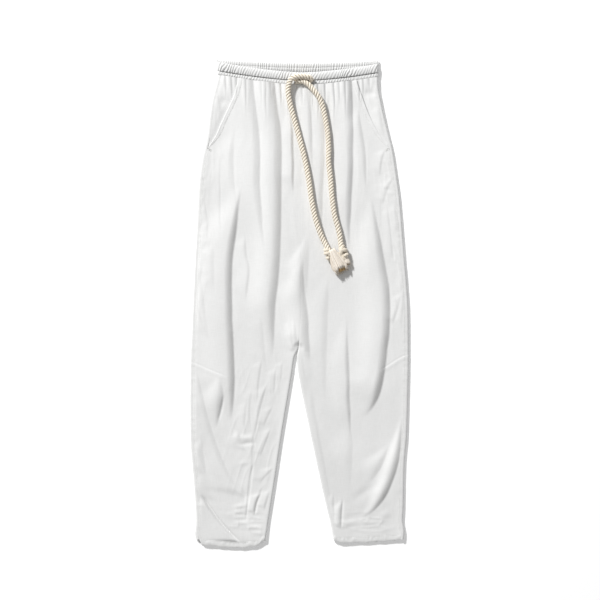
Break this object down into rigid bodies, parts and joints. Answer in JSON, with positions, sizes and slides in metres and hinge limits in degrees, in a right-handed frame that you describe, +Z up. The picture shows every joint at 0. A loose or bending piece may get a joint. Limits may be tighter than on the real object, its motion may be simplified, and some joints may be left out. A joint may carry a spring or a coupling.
{
  "type": "drawstring trousers",
  "caption": "Loose tapered linen trousers laid flat, with a ruched elastic waist, slanted pockets and a knotted rope drawcord.",
  "frame": {"origin": "middle of the laid-out trousers, on the surface they lie on", "axes": "+Z up from the surface through the front, +Y towards the waist, +X towards the wearer's left"},
  "size_m": [0.4371, 0.975, 0.0225],
  "materials": {
    "linen": "washed slub linen, white",
    "rope": "twisted natural cotton"
  },
  "bodies": {
    "root": {"waistband_front": "linen", "waistband_back": "linen", "waist_header_front": "linen", "waist_header_back": "linen", "front_panel_r": "linen", "front_panel_l": "linen", "back_panel_r": "linen", "back_panel_l": "linen", "pocket_facing_r": "linen", "pocket_facing_l": "linen", "pocket_edge_r": "linen", "pocket_edge_l": "linen", "hem_front_r": "linen", "hem_front_l": "linen", "hem_back_r": "linen", "hem_back_l": "linen", "rope_a": "rope", "rope_b": "rope", "end_knot_a": "rope", "end_knot_b": "rope", "tassel_a": "rope", "tassel_b": "rope"}
  },
  "joints": []
}
